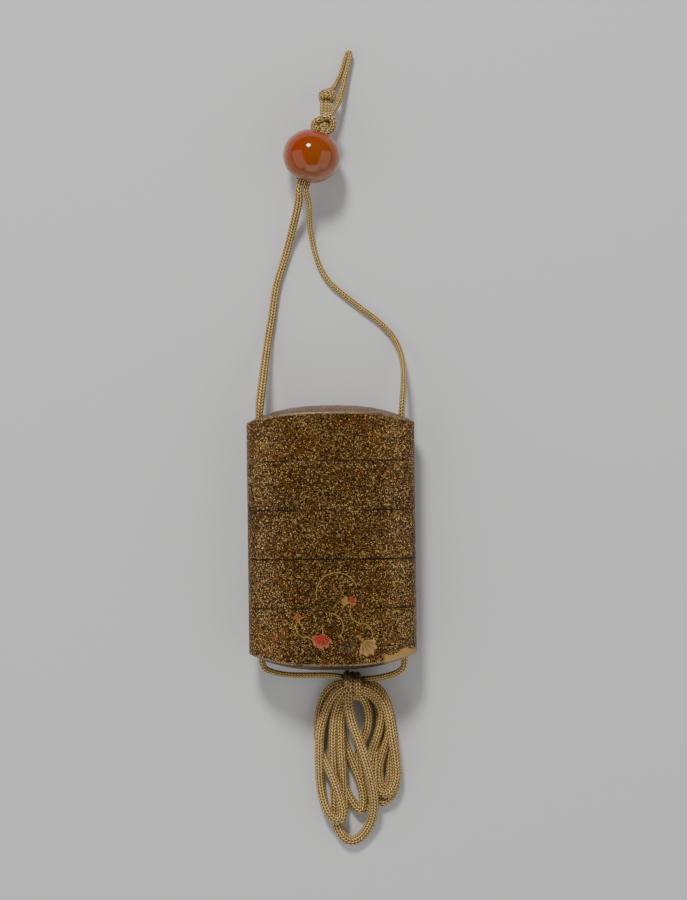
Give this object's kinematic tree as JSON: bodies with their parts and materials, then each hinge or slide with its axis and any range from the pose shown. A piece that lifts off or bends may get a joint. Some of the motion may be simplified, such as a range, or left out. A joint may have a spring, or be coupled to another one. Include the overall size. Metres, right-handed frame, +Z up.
{
  "type": "inro case",
  "caption": "Flattened oval lacquer case in stacked tiers with a domed lid, strung on a braided cord with a round bead, small knots, a carrying loop and a bow.",
  "frame": {"origin": "on the surface that the case lies on, under the middle of the case", "axes": "+X across the case, +Y along the case towards the lid and the bead, +Z up, out of the front face"},
  "size_m": [0.054, 0.258, 0.0216],
  "materials": {
    "nashiji_lacquer": "dark brown glossy lacquer with a dense sprinkled gold ground and painted shore plants and shells",
    "agate": "polished translucent orange agate with a pale rim",
    "silk_cord": "braided silk, soft sheen"
  },
  "bodies": {
    "root": {"lid": "nashiji_lacquer", "tier_1": "nashiji_lacquer", "tier_2": "nashiji_lacquer", "tier_3": "nashiji_lacquer", "tier_4": "nashiji_lacquer", "ojime_bead": "agate", "cord_left_above": "silk_cord", "cord_right_above": "silk_cord", "cord_left_inside": "silk_cord", "cord_right_inside": "silk_cord", "cord_left_below": "silk_cord", "cord_right_below": "silk_cord", "netsuke_loop": "silk_cord", "knot_link": "silk_cord", "lower_knot": "silk_cord", "upper_knot": "silk_cord", "bow_knot": "silk_cord", "bow_hank": "silk_cord"}
  },
  "joints": []
}
